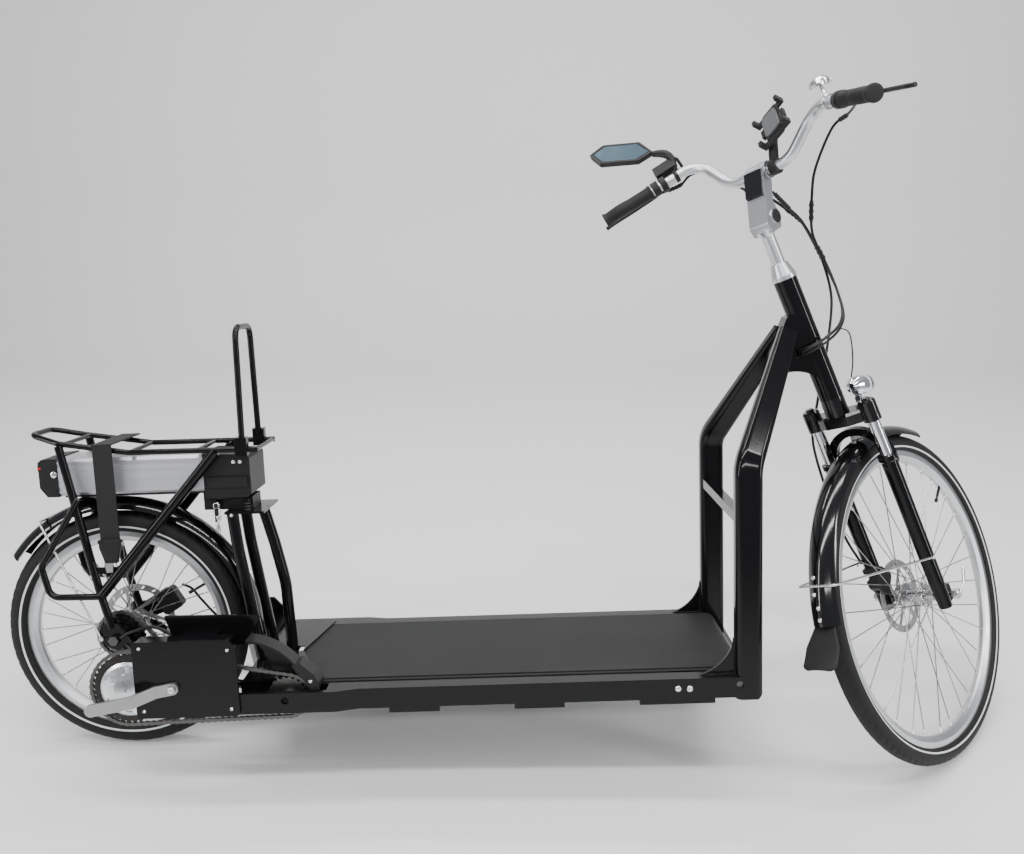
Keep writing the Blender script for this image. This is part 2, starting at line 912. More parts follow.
def pebble_grid(half: tuple, power: float = 0.35, rows: int = 14, columns: int = 24) -> np.ndarray:
    """A rounded block: each axis is half its size times cos or sin to a power, with the sign kept.

    Args:
        half: half the block's size along X, Y and Z.
        power: near 0 for a block with sharp corners, 1 for an ellipsoid.
        rows: how many rings it has.
        columns: how many points a ring has.

    Returns:
        A grid from the lowest ring to the highest.
    """
    up = np.linspace(-math.pi / 2, math.pi / 2, rows)[:, None]
    turn = np.linspace(-math.pi, math.pi, columns, endpoint=False)[None, :]
    across = np.abs(np.cos(up)) ** power
    x = half[0] * across * softened(np.cos(turn), power)
    y = half[1] * across * softened(np.sin(turn), power)
    z = half[2] * softened(np.sin(up), power)
    return np.stack(np.broadcast_arrays(x, y, z), -1)


def slab_grid(outline: ArrayLike, thickness: float, edge: float) -> np.ndarray:
    """A plate with softened edges: four copies of its outline, the first and last drawn in by the edge.

    Args:
        outline: the plate's corners, rows of X and Y.
        thickness: its size along Z.
        edge: how far the edges are drawn in.

    Returns:
        A grid of four rows.
    """
    outline = np.asarray(outline, float)
    middle = outline.mean(axis=0)
    size = np.linalg.norm(outline - middle, axis=1).mean()
    inner = middle + (outline - middle) * (1.0 - edge / size)
    rows = ((inner, -thickness / 2), (outline, -thickness / 2 + edge), (outline, thickness / 2 - edge),
            (inner, thickness / 2))
    return np.stack([np.column_stack([ring, np.full(len(ring), height)]) for ring, height in rows])


def put(grid: np.ndarray, centre: ArrayLike, columns: np.ndarray) -> np.ndarray:
    """Turns and moves a grid: centre plus the columns times each point, in millimetres."""
    return np.asarray(centre, float) + grid @ np.asarray(columns, float).T


@dataclass(frozen=True)
class Kit:
    """What the pieces of a sub-assembly share.

    Attributes:
        axes: the axes that their millimetres are in.
        body: the body they ride on, or None where they are blended between two.
        finishes: every material by its short name.
    """

    axes: Axes
    body: Body | None
    finishes: dict[str, bpy.types.Material]

    def piece(self, name: str, grids: list, finish: str, slot: str, ring: bool = False,
              smooth: bool = True) -> bpy.types.Object:
        """Joins grids of closed columns into one welded piece.

        Args:
            name: the piece's name.
            grids: arrays of shape (rows, columns, 3).
            finish: the finish's short name.
            slot: the record's slot that the finish comes from.
            ring: whether each grid's last row joins its first; if not, both are filled.
            smooth: whether it is shaded smooth.

        Returns:
            The piece.
        """
        points, faces, count = [], [], 0
        for grid in grids:
            some, cells = grid_mesh(self.axes.place(grid), ring, True, not ring)
            points.append(some)
            faces.extend([[corner + count for corner in cell] for cell in cells])
            count += len(some)
        made = make_object(name, np.concatenate(points), faces, smooth, True)
        made.data.materials.append(self.finishes[finish])
        if self.body is not None:
            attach(made, self.body.value)
        LOG.info("%s built", name)
        return made


def dress(frame: dict, finishes: dict[str, bpy.types.Material], table: dict[str, tuple]) -> None:
    """Gives each solid that stays in view its finish.

    Args:
        frame: the loaded frame.
        finishes: materials by name.
        table: for each finish, the names of the solids that wear it.
    """
    for finish, nodes in table.items():
        for name in nodes:
            slots = frame["nodes"][name].data.materials
            slots.clear()
            slots.append(finishes[finish])


def make_finishes(bike: BikeAxes) -> dict[str, bpy.types.Material]:
    """Builds every finish once.

    Args:
        bike: the bike's axes, for the finishes that have zones.

    Returns:
        Materials by name.
    """
    kinds = {
        "gloss_paint": GlossPaint(),
        "silver": Metal("satin_silver", (0.66, 0.67, 0.69), 0.3),
        "leg_silver": Metal("scuffed_leg_alloy", (0.43, 0.43, 0.435), 0.36, 0.7),
        "steel": Metal("drive_steel", (0.13, 0.125, 0.12), 0.36),
        "bright": Metal("bright_steel", (0.75, 0.75, 0.76), 0.16, 0.1),
        "chrome": Metal("lamp_chrome", (0.82, 0.83, 0.85), 0.07, 0.05),
        "plastic": Plastic("black_plastic"),
        "rubber": Plastic("black_rubber", (0.007, 0.007, 0.007), 0.6, 420.0, 0.00015),
        "cable": Plastic("cable_cover", (0.005, 0.005, 0.005), 0.35, 500.0, 0.00003),
        "pad": Plastic("grey_pad", (0.07, 0.072, 0.075), 0.6, 300.0, 0.0001),
        "red": Plastic("red_lamp_plastic", (0.42, 0.01, 0.012), 0.18, 300.0, 0.00003),
        "tyre_front": TyreRubber("front_tyre_rubber", bike.front_wheel, 0.3257, 0.3292),
        "tyre_rear": TyreRubber("rear_tyre_rubber", bike.rear_wheel, 0.2292, 0.2332),
        "wheel_front": WheelMetal("front_wheel_metal", bike.front_wheel, 0.2925, 0.038, 0.0),
        "wheel_rear": WheelMetal("rear_wheel_metal", bike.rear_wheel, 0.1935, 0.054),
        "guard_front": MudguardFinish("front_mudguard_paint", bike.front_wheel, 0.377),
        "guard_rear": MudguardFinish("rear_mudguard_paint", bike.rear_wheel, 0.294),
        "fork": ForkFinish(bike.steered),
        "crank": CrankFinish(bike.deck),
        "battery": BatteryAlloy(bike.deck),
        "belt": BeltRubber(bike.deck),
        "glass": Plastic("display_glass", (0.008, 0.008, 0.01), 0.12, 300.0, 0.00001),
        "mirror": Metal("mirror_glass", (0.42, 0.6, 0.72), 0.06, 0.02),
        "lens": ClearPart("lamp_lens", (0.95, 0.97, 1.0), 0.02, 1.0),
        "screen": Plastic("control_screen", (0.2, 0.23, 0.225), 0.3, 300.0, 0.00001),
        "board": Plastic("bed_board", (0.03, 0.03, 0.03), 0.5),
    }
    return {name: kind.build() for name, kind in kinds.items()}


FINISH_OF_NODES = {
    "gloss_paint": ("deck_frame", "side_plates", "front_frame", "rear_frame", "battery_stand", "rack",
                    "rack_loop", "fork_lowers"),
    "guard_rear": ("rear_mudguard",),
    "guard_front": ("front_mudguard",),
    "fork": ("fork",),
    "silver": ("stem", "handlebar"),
    "battery": ("battery_body",),
    "leg_silver": ("left_stand", "right_stand"),
    "wheel_rear": ("rear_wheel",),
    "wheel_front": ("front_wheel",),
    "crank": ("crank_set",),
    "steel": ("belt_rollers", "drive_chain", "wheel_chain", "rear_axle"),
    "bright": ("front_axle", "bell"),
    "chrome": ("headlight",),
    "lens": ("headlight_lens",),
    "plastic": ("battery_caps", "battery_dock", "apron_strip", "rear_caliper", "front_caliper",
                "brake_levers", "control_unit", "rear_view_mirror", "phone_holder"),
    "board": ("belt_bed",),
    "rubber": ("luggage_strap", "mudguard_flap", "grips"),
    "belt": ("walking_belt",),
    "glass": ("display",),
}


@dataclass
class Tyre:
    """A tyre with a ribbed and cut tread, rounder than the solid it stands for.

    Attributes:
        name: the piece's name.
        node: the solid it stands for.
        kit: the wheel's axes, its body and the finishes.
        radius: the tyre's outer radius.
        width: the tube's width.
        cuts: how many slanting cuts go round.
        steps: how many sections go round.
        section_points: how many points a section has.
        seat_depth: how far the tube reaches into the rim.
        groove: the angle, spread and depth of the centre grooves.
        shoulder: the angle, spread and depth of the shoulder grooves.
        cut_span: the angles between which the cuts lie.
        cut_slant: how far a cut runs round for each radian across.
        cut_level: the sine above which there is a cut.
        cut_depth: the cuts' depth.
    """

    name: str
    node: str
    kit: Kit
    radius: float
    width: float
    cuts: int
    steps: int = 540
    section_points: int = 47
    seat_depth: float = 8.0
    groove: tuple = (0.26, 0.045, 1.6)
    shoulder: tuple = (0.82, 0.05, 0.7)
    cut_span: tuple = (0.3, 0.8)
    cut_slant: float = 5.5
    cut_level: float = 0.72
    cut_depth: float = 1.5

    def section(self) -> tuple[np.ndarray, np.ndarray]:
        """The tube's section, drawn in at its grooves.

        Returns:
            Angles round the section, and the tube's radius at each.
        """
        seat = self.radius - self.width + self.seat_depth
        tube = self.width / 2.0
        last = math.acos((seat - self.radius + tube) / tube)
        angle = np.linspace(-last, last, self.section_points)
        size = np.full_like(angle, tube)
        for place, spread, depth in (self.groove, self.shoulder):
            size = size - depth * np.exp(-((np.abs(angle) - place) / spread) ** 2)
        return angle, size

    def build(self, finish: str) -> None:
        """Makes the tyre: r = R - tube + tube cos a and y = tube sin a, with slanting cuts in the tread.

        Args:
            finish: the rubber's short name.
        """
        angle, tube = self.section()
        around = angles_round(self.steps)[:, None]
        middle = self.radius - self.width / 2.0
        slant = self.cuts * around + self.cut_slant * np.abs(angle)
        low, high = self.cut_span
        cut = (np.sin(slant) > self.cut_level) * (np.abs(angle) > low) * (np.abs(angle) < high)
        size = tube - self.cut_depth * cut
        radial = middle + size * np.cos(angle)
        across = size * np.sin(angle)
        grid = np.stack([radial * np.cos(around), across, radial * np.sin(around)], -1)
        made = self.kit.piece(self.name, [grid], finish, "tyre", ring=True)
        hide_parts(self.node)


@dataclass
class SpokeEnds:
    """The nipples at the rim, the heads at the hub and the valve of one wheel.

    Attributes:
        name: the wheel's name.
        kit: its axes, its body and the finishes.
        rim_inner: the radius where the rim starts.
        spokes: how many spokes it has.
        hub_radius: the radius of the heads' circle.
        hub_half: how far each flange lies from the wheel's middle.
        lean_deg: how far a spoke runs round from its head to its nipple.
        rim_half: how far each nipple lies from the wheel's middle.
        nipple: a nipple's profile, rows of radius and height.
        nipple_seat: how far its end lies inside the rim.
        head: a spoke head's profile.
        head_out: how far its middle lies outside its flange.
        valve: the valve's profile.
        valve_seat: how far its foot lies inside the rim.
        valve_turn: its place round the wheel, counted in spokes.
    """

    name: str
    kit: Kit
    rim_inner: float
    spokes: int = 32
    hub_radius: float = 24.0
    hub_half: float = 22.0
    lean_deg: float = 62.0
    rim_half: float = 2.0
    nipple: tuple = ((0, -14), (1.7, -14), (2.0, -12), (2.0, -3), (3.0, -1.5), (3.0, 0))
    nipple_seat: float = 2.0
    head: tuple = ((0, -2.5), (2.4, -2.5), (2.6, 0), (2.0, 2.5), (0, 3))
    head_out: float = 1.5
    valve: tuple = ((0, 0), (3.2, 0), (3.2, 26), (2.4, 27), (2.4, 34), (4, 35), (4, 42), (0, 43))
    valve_seat: float = 1.0
    valve_turn: float = 2.5

    def build(self) -> None:
        """Makes the ends as turned bodies along each spoke's line, and the valve between two spokes."""
        number = np.arange(self.spokes)
        side = np.where(number % 2 == 1, 1.0, -1.0)
        start = FULL_TURN * number / self.spokes
        lean = np.where((number // 2) % 2 == 1, 1.0, -1.0) * math.radians(self.lean_deg)
        inner = np.stack([self.hub_radius * np.cos(start + lean), side * self.hub_half,
                          self.hub_radius * np.sin(start + lean)], -1)
        reach = self.rim_inner + self.nipple_seat
        outer = np.stack([reach * np.cos(start), side * self.rim_half, reach * np.sin(start)], -1)
        nipple = turned_grid(self.nipple, 8)
        head = turned_grid(self.head, 8)
        grids = []
        for first, last, out in zip(inner, outer, side):
            grids.append(put(nipple, last, facing(last - first, (0, 1, 0))))
            seat = first + (0, out * self.head_out, 0)
            grids.append(put(head, seat, facing((0, out, 0), (1, 0, 0))))
        self.kit.piece(f"{self.name}_spoke_ends", grids, "bright", "steel")
        turn = math.radians(360.0 * self.valve_turn / self.spokes)
        inwards = np.array([-math.cos(turn), 0.0, -math.sin(turn)])
        foot = -inwards * (self.rim_inner + self.valve_seat)
        valve = put(turned_grid(self.valve, 12), foot, facing(inwards, (0, 1, 0)))
        self.kit.piece(f"{self.name}_valve", [valve], "plastic", "black_plastic")


@dataclass
class Cable:
    """A cable or hose that is clipped all the way, as a round tube along a smooth line.

    Attributes:
        name: the piece's name.
        points: the points that it passes.
        diameter: its outer diameter.
        steps: how many rings it has.
        wrapped: the shares of its length between which a spiral wrap holds it.
        wrap_thickness: how far the wrap stands out.
        wrap_wave: how far the wrap's turns rise and fall.
    """

    name: str
    points: tuple
    diameter: float
    steps: int = 90
    wrapped: tuple = ()
    wrap_thickness: float = 1.9
    wrap_wave: float = 0.8

    def grid(self) -> np.ndarray:
        """The cable's shape, swollen in sine waves where it is wrapped.

        Returns:
            A grid with one row for each ring.
        """
        line = smooth_line(self.points, self.steps)
        share = np.linspace(0.0, 1.0, self.steps)
        size = np.full(self.steps, self.diameter / 2.0)
        for low, high in self.wrapped:
            inside = (share > low) & (share < high)
            turns = np.sin(share * self.steps * math.pi / 2.0)
            size = size + inside * (self.wrap_thickness + self.wrap_wave * turns)
        return tube_grid(line, size)


@dataclass
class Cables:
    """Every clipped cable of the bike: hoses, the bundle from the bar, the lamp's wire and the rear runs.

    Attributes:
        bike: the bike's axes.
        finishes: every material by its short name.
        steered: the cables that turn with the steering, in its axes.
        bundle: the runs that bend where the steering turns, in the same axes.
        bend_start: the bundle follows the steering before this place.
        bend_end: it follows the frame after this one.
        fixed: the cables on the frame, in the deck's axes.
    """

    bike: BikeAxes
    finishes: dict[str, bpy.types.Material]
    steered: tuple = (
        Cable("left_brake_hose",
              ((52, 262, 1028), (72, 236, 1026), (80, 205, 1026), (78, 170, 1036), (84, 130, 1026),
               (88, 90, 985), (84, 50, 945), (86, 20, 925), (112, 4, 884), (146, 2, 845), (164, 2, 784),
               (170, 3, 734), (158, 8, 664), (112, 22, 590), (70, 44, 520), (40, 62, 470), (12, 88, 400),
               (-14, 86, 300), (-22, 82, 180), (-30, 62, 110)),
              6.0, 300, ((0.05, 0.11), (0.3, 0.34), (0.42, 0.47))),
        Cable("right_brake_hose",
              ((40, -243, 1033), (92, -226, 1024), (140, -180, 1012), (158, -130, 1000), (152, -70, 940),
               (152, -40, 890), (148, -14, 824), (160, -4, 784)),
              6.0, 160, ((0.3, 0.36), (0.74, 0.82))),
        Cable("display_cable", ((70, -6, 930), (104, -4, 890), (140, -3, 848), (160, -3, 784)),
              5.5, 90, ((0.05, 0.4),)),
        Cable("lamp_wire",
              ((88, -8, 497), (112, -10, 522), (118, -20, 560), (100, -34, 592), (60, -42, 612),
               (20, -42, 618)),
              3.2, 80),
    )
    bundle: tuple = (
        Cable("rear_brake_run",
              ((160, -4, 784), (166, -6, 734), (150, -16, 680), (104, -36, 640), (54, -46, 622),
               (4, -46, 616), (-34, -28, 610), (-44, -2, 606)),
              6.0, 110, ((0.0, 0.1),)),
        Cable("control_run",
              ((164, 1, 784), (170, -1, 734), (157, -12, 676), (110, -33, 632), (58, -43, 614),
               (6, -43, 607), (-32, -25, 602), (-42, 1, 600)),
              5.5, 110, ((0.0, 0.1),)),
        Cable("lamp_run", ((20, -42, 618), (-10, -36, 614), (-36, -18, 612), (-43, 2, 611)), 3.2, 50),
    )
    bend_start: tuple = (70, -40, 625)
    bend_end: tuple = (-34, -20, 608)
    fixed: tuple = (
        Cable("rear_caliper_hose",
              ((296, 110, -76), (230, 104, -60), (170, 92, -20), (136, 76, 30), (118, 66, 62),
               (98, 62, 74)),
              6.0, 80),
        Cable("motor_cable",
              ((292, -100, -68), (220, -96, -44), (150, -88, -6), (90, -84, 26), (40, -84, 18),
               (12, -82, 4)),
              7.0, 80),
    )

    def build(self) -> None:
        """Makes the steered cables, the runs that bend where the steering turns, and those of the frame."""
        self._fit(self.steered, Kit(self.bike.steered, Body.STEERING, self.finishes))
        for made in self._fit(self.bundle, Kit(self.bike.steered, None, self.finishes)):
            tuple(self.bike.steered.place(self.bend_start))
            tuple(self.bike.steered.place(self.bend_end))
            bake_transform(made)
        self._fit(self.fixed, Kit(self.bike.deck, Body.FRAME, self.finishes))

    @staticmethod
    def _fit(cables: tuple, kit: Kit) -> list:
        """Makes each cable's piece and returns them in order."""
        return [kit.piece(cable.name, [cable.grid()], "cable", "black_plastic") for cable in cables]


@dataclass
class Fasteners:
    """Button-head bolts of the frame and the steered assembly.

    Attributes:
        bike: the bike's axes.
        finishes: every material by its short name.
        side_bolts: rows of X, Y, Z and the head's width; each faces away from the deck's middle.
        front_bolts: the same for the steered assembly.
        aimed_bolts: place, direction and width of the stem's and the crown's bolts.
        guard_radius: the radius of the bolts along the front mudguard's end.
        guard_rows: the bolts' angles round the wheel and their places across.
        guard_size: the width of their heads.
    """

    bike: BikeAxes
    finishes: dict[str, bpy.types.Material]
    side_bolts: tuple = (
        (1170, -204.3, -91, 13), (1193, -204.3, -92, 13), (1170, 204.3, -91, 13), (1193, 204.3, -92, 13),
        (272, -54.3, 369, 9), (286, -54.3, 369, 9), (272, 54.3, 369, 9), (286, 54.3, 369, 9),
        (440, -206.2, -52, 8), (172, 235.9, -50, 15),
        (238, -58.3, 256, 8), (261, -58.3, 256, 8), (238, 58.3, 256, 8), (261, 58.3, 256, 8),
        (60, 79, 46, 9), (76, 79, 34, 9), (172, -235.9, -50, 15),
        (110, -222.2, 32, 7), (110, -222.2, -98, 7), (284, -222.2, 24, 7), (284, -222.2, -98, 7),
        (152, 222.2, -28, 7), (152, 222.2, -98, 7),
    )
    front_bolts: tuple = ((-14, 84, 100, 8), (0, 86, 100, 8), (0, -86, 100, 8))
    aimed_bolts: tuple = (((60, 8, 995.2), (0.1, 0, 1), 8), ((60, -8, 995.2), (0.1, 0, 1), 8),
                          ((38.5, 0, 436), (1, 0, 0.1), 9))
    guard_radius: float = 377.2
    guard_rows: tuple = ((145.5, 6), (150.5, 6), (154.5, 0), (158, 0))
    guard_size: float = 9.0

    @staticmethod
    def head(size: float) -> np.ndarray:
        """A domed head with a round socket.

        Args:
            size: its width; the profile's radii and heights are shares of half of it.

        Returns:
            A grid that stands on Z.
        """
        profile = np.array([(0.0, 0.18), (0.34, 0.2), (0.36, 0.5), (0.62, 0.48), (0.88, 0.32), (1.0, 0.1),
                            (1.0, -0.1), (0.0, -0.1)])
        return turned_grid(profile * (size / 2.0), 18)

    def build(self) -> None:
        """Makes one piece of bolts for each body that carries some."""
        deck = Kit(self.bike.deck, Body.FRAME, self.finishes)
        self._place("frame_bolts", deck, self._sideways(self.side_bolts))
        rows = [*self._guard(), *self.aimed_bolts, *self._sideways(self.front_bolts)]
        self._place("steering_bolts", Kit(self.bike.steered, Body.STEERING, self.finishes), rows)

    @staticmethod
    def _sideways(bolts: tuple) -> list:
        """Rows of place, direction and size for bolts that face away from the middle."""
        return [((x, y, z), (0, math.copysign(1, y), 0), size) for x, y, z, size in bolts]

    def _guard(self) -> list:
        """Lays the bolts that face out from the front wheel.

        Returns:
            Rows of place, direction and width.
        """
        rows = []
        axle_x = FORK_OFFSET / METRES_IN_A_MILLIMETRE
        for turn_deg, across in self.guard_rows:
            turn = math.radians(turn_deg)
            x, z = math.cos(turn), math.sin(turn)
            place = (axle_x + self.guard_radius * x, across, self.guard_radius * z)
            rows.append((place, (x, 0, z), self.guard_size))
        return rows

    def _place(self, name: str, kit: Kit, rows: list) -> None:
        """Puts a head at each row's place, facing its direction.

        Args:
            name: the piece's name.
            kit: the axes, the body and the finishes of the heads.
            rows: each head's place, direction and width.
        """
        grids = [put(self.head(size), centre, facing(direction, (0, 0.3, 1)))
                 for centre, direction, size in rows]
        kit.piece(name, grids, "bright", "steel")


@dataclass(frozen=True)
class BarEnd:
    """The bar's straight left end, which carries the left grip and the control unit.

    Attributes:
        place: the bar's left end.
        corner: where the bar bends towards the stem.
    """

    place: tuple = (-57.0, 330.0, 1020.0)
    corner: tuple = (90.0, 152.0, 1054.0)

    def heading(self) -> np.ndarray:
        """The bar's direction from its left end inwards."""
        return unit(np.subtract(self.corner, self.place))


@dataclass
class Grips:
    """The two ribbed grips, in place of the plain ones. The right one mirrors the left.

    Attributes:
        kit: the steered axes, their body and the finishes.
        bar: the bar's left end.
        lever_out: the direction from the bar to its brake lever, away from the palm.
        span: where a grip starts and ends along the bar, from the bar's end.
        radius: the sleeve's radius.
        end_share: the outer end's first ring as a share of the sleeve's radius.
        collars: each collar's height, and its place and its spread as shares of the grip's length.
        palm_depth: how much the sleeve swells under the palm.
        palm_least: how far it always stands out on that side.
        palm_end: the share of the length where the swelling ends.
        palm_length: the share of the length that it takes.
        ribbed: the shares of the length between which there are ribs.
        rib_height: how far the ribs rise and fall.
        rib_pitch: the distance from rib to rib.
        sleeve_end: the share of the length from which it is round.
    """

    kit: Kit
    bar: BarEnd = BarEnd()
    lever_out: tuple = (0.764, 0.611, -0.204)
    span: tuple = (-4.0, 118.0)
    radius: float = 14.6
    end_share: float = 0.75
    collars: tuple = ((2.6, 0.02, 0.035), (2.2, 0.97, 0.03))
    palm_depth: float = 7.5
    palm_least: float = 2.0
    palm_end: float = 0.62
    palm_length: float = 0.6
    ribbed: tuple = (0.08, 0.9)
    rib_height: float = 0.35
    rib_pitch: float = 3.0
    sleeve_end: float = 0.93

    def build(self) -> None:
        """Makes the left grip, and the right one as its mirror image."""
        left = self.grip()
        right = left * np.array([1.0, -1.0, 1.0])
        grips = self.kit.piece("ribbed_grips", [left, right], "rubber", "strap_rubber")
        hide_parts("grips")

    def grip(self) -> np.ndarray:
        """The left grip: a ribbed sleeve with a collar at each end, wider at the palm by a cosine squared.

        Returns:
            A grid with one row for each ring along the bar.
        """
        start, end = self.span
        along = np.linspace(start, end, 150)
        share = (along - start) / (end - start)
        turn = angles_round(40)
        base = np.full_like(share, self.radius)
        for height, place, spread in self.collars:
            base = base + height * np.exp(-((share - place) / spread) ** 2)
        swell = np.sin(np.clip((self.palm_end - share) / self.palm_length, 0.0, 1.0) * math.pi) ** 1.2
        palm = (self.palm_depth * swell + self.palm_least)[:, None]
        lobe = np.clip(-np.cos(turn), 0.0, 1.0) ** 2
        low, high = self.ribbed
        ribbed = (share > low) & (share < high)
        ribs = self.rib_height * np.sin(along * FULL_TURN / self.rib_pitch) * ribbed
        radius = base[:, None] + palm * lobe * (share < self.sleeve_end)[:, None] + ribs[:, None]
        radius[0] *= self.end_share
        heading = self.bar.heading()
        columns = np.column_stack([self.lever_out, np.cross(heading, self.lever_out), heading])
        rings = np.broadcast_arrays(radius * np.cos(turn), radius * np.sin(turn), along[:, None])
        return put(np.stack(rings, -1), self.bar.place, columns)


@dataclass
class Mirror:
    """The mirror's blue-tinted glass just inside its housing's rim, and the cover of its bent arm.

    Attributes:
        kit: the steered axes, their body and the finishes.
        outline: the housing's corners, along its length and across.
        glass_share: the glass's size as shares of the housing's.
        glass_thickness: the glass's thickness.
        glass_edge: how far its edges are drawn in.
        centre: the middle of the housing's open face.
        sunk: how far the glass's middle lies behind that face.
        rise: the direction that the glass faces.
        across: the direction of its length.
        arm: the points that the cover's middle passes.
        arm_radius: the cover's middle radius.
        arm_swell: how far it is thicker halfway and thinner near its ends.
        arm_end: its first and last ring as a share of their radius.
    """

    kit: Kit
    outline: tuple = ((-71, 3), (-44, 28), (44, 30), (71, 2), (46, -28), (-38, -30))
    glass_share: tuple = (0.9, 0.84)
    glass_thickness: float = 1.6
    glass_edge: float = 0.4
    centre: tuple = (30.5, 289, 1148)
    sunk: float = 0.5
    rise: tuple = (-0.466, -0.52, 0.705)
    across: tuple = (-0.40, 0.845, 0.36)
    arm: tuple = ((61, 233, 1114), (63, 220, 1110), (67, 203, 1100), (68, 195, 1084), (62, 192, 1064))
    arm_radius: float = 8.5
    arm_swell: float = 1.2
    arm_end: float = 0.7

    def build(self) -> None:
        """Makes the cover as a tube that is thickest halfway by a cosine, and the glass as a thin slab."""
        line = smooth_line(self.arm, 26)
        radius = self.arm_radius - self.arm_swell * np.cos(np.linspace(0.0, FULL_TURN, len(line)))
        radius[[0, -1]] *= self.arm_end
        cover = tube_grid(line, radius, 8)
        self.kit.piece("mirror_hinge", [cover], "plastic", "black_plastic", smooth=False)
        rise = np.array(self.rise)
        across = unit(self.across)
        columns = np.column_stack([across, np.cross(rise, across), rise])
        outline = np.array(self.outline) * self.glass_share
        slab = slab_grid(outline, self.glass_thickness, self.glass_edge)
        glass = put(slab, np.array(self.centre) - self.sunk * rise, columns)
        self.kit.piece("mirror_glass", [glass], "mirror", "display_glass", smooth=False)


@dataclass
class PhoneTray:
    """The phone holder's rounded plate and its grey pad, laid on the tray.

    Attributes:
        kit: the steered axes, their body and the finishes.
        middle: the tray's middle.
        rise: the direction that the tray faces.
        along: the direction of its first side, before it is made square to rise.
        roundness: the power that rounds the corners.
        plate: half its two sides, its thickness, its drawn-in edge and its middle's height off the tray.
        pad: the same for the pad.
    """

    kit: Kit
    middle: tuple = (82.0, -56.0, 1056.0)
    rise: tuple = (-0.707, 0.2325, 0.6665)
    along: tuple = (0.1, -0.9, 0.42)
    roundness: float = 0.35
    plate: tuple = ((25, 37), 7.0, 1.2, 1.5)
    pad: tuple = ((20, 31), 5.4, 0.9, 7.4)

    def build(self) -> None:
        """Makes both as slabs whose outline is cos t and sin t to a power, with their signs kept."""
        self._slab("phone_plate", self.plate, "plastic", "black_plastic")
        self._slab("phone_pad", self.pad, "pad", "strap_rubber")

    def _slab(self, name: str, sizes: tuple, finish: str, slot: str) -> None:
        """Makes one slab on the tray.

        Args:
            name: the piece's name.
            sizes: half its two sides, its thickness, its drawn-in edge and its height.
            finish: the finish's short name.
            slot: the record's slot that the finish comes from.
        """
        rise = unit(self.rise)
        along = np.array(self.along)
        along = unit(along - along @ rise * rise)
        columns = np.column_stack([along, np.cross(rise, along), rise])
        turn = angles_round(32)
        rounded = softened(np.column_stack([np.cos(turn), np.sin(turn)]), self.roundness)
        half, thickness, edge, height = sizes
        slab = slab_grid(rounded * half, thickness, edge)
        placed = put(slab, np.array(self.middle) + height * rise, columns)
        self.kit.piece(name, [placed], finish, slot, smooth=False)


@dataclass
class Switches:
    """The control unit's window and its two push buttons, and the bell's striker.

    Attributes:
        kit: the steered axes, their body and the finishes.
        bar: the bar's left end, which carries the unit.
        rise: the direction that the unit faces.
        along: how far the window's middle lies from the bar's end.
        height: how far it lies above the bar's middle.
        window: the window's corners, along the bar and across it.
        window_thickness: its thickness.
        window_edge: how far its edges are drawn in.
        button_half: half a button's size along the bar, across it and up.
        button_power: how round the buttons are.
        button_along: how far they lie inwards of the window's middle.
        button_across: how far each lies beside it.
        striker: the points that the striker's middle passes.
        striker_radius: its radius.
    """

    kit: Kit
    bar: BarEnd = BarEnd()
    rise: tuple = (0.32, 0.44, 0.84)
    along: float = 168.0
    height: float = 40.8
    window: tuple = ((-20, -11), (8, -11), (8, 11), (-20, 11))
    window_thickness: float = 1.2
    window_edge: float = 0.5
    button_half: tuple = (5.5, 4.2, 2.0)
    button_power: float = 0.6
    button_along: float = 16.0
    button_across: float = 6.5
    striker: tuple = ((92, -196, 1086), (101, -188, 1082), (104, -176, 1084), (101, -166, 1090))
    striker_radius: float = 2.2

    def build(self) -> None:
        """Makes the window as a thin slab, the buttons as rounded blocks and the striker as a tube."""
        rise = unit(self.rise)
        heading = self.bar.heading()
        columns = np.column_stack([heading, np.cross(rise, heading), rise])
        middle = np.array(self.bar.place) + heading * self.along + rise * self.height
        window = put(slab_grid(self.window, self.window_thickness, self.window_edge), middle, columns)
        self.kit.piece("control_window", [window], "screen", "display_glass", smooth=False)
        button = pebble_grid(self.button_half, self.button_power)
        beside = middle + heading * self.button_along
        sides = (-self.button_across, self.button_across)
        buttons = [put(button, beside + columns[:, 1] * offset, columns) for offset in sides]
        self.kit.piece("control_buttons", buttons, "pad", "strap_rubber")
        striker = tube_grid(smooth_line(self.striker, 16), self.striker_radius, 8)
        self.kit.piece("bell_striker", [striker], "bright", "steel")


@dataclass
class StemCaps:
    """The dark round caps on both sides of the stem's pivot.

    Attributes:
        kit: the steered axes, their body and the finishes.
        profile: a cap's profile, rows of radius and height.
        pivot: the pivot's X and Z.
        reach: how far each cap lies from the stem's middle.
    """

    kit: Kit
    profile: tuple = ((0, 2.4), (12, 2.2), (14.6, 1.2), (15.2, -0.5), (0, -0.5))
    pivot: tuple = (16, 884)
    reach: float = 26.2

    def build(self) -> None:
        """Makes each cap as a turned shape that faces away from the stem."""
        cap = turned_grid(self.profile, 32)
        x, z = self.pivot
        grids = [put(cap, (x, side * self.reach, z), facing((0, side, 0), (1, 0, 0))) for side in (1, -1)]
        self.kit.piece("stem_pivot_caps", grids, "plastic", "black_plastic")


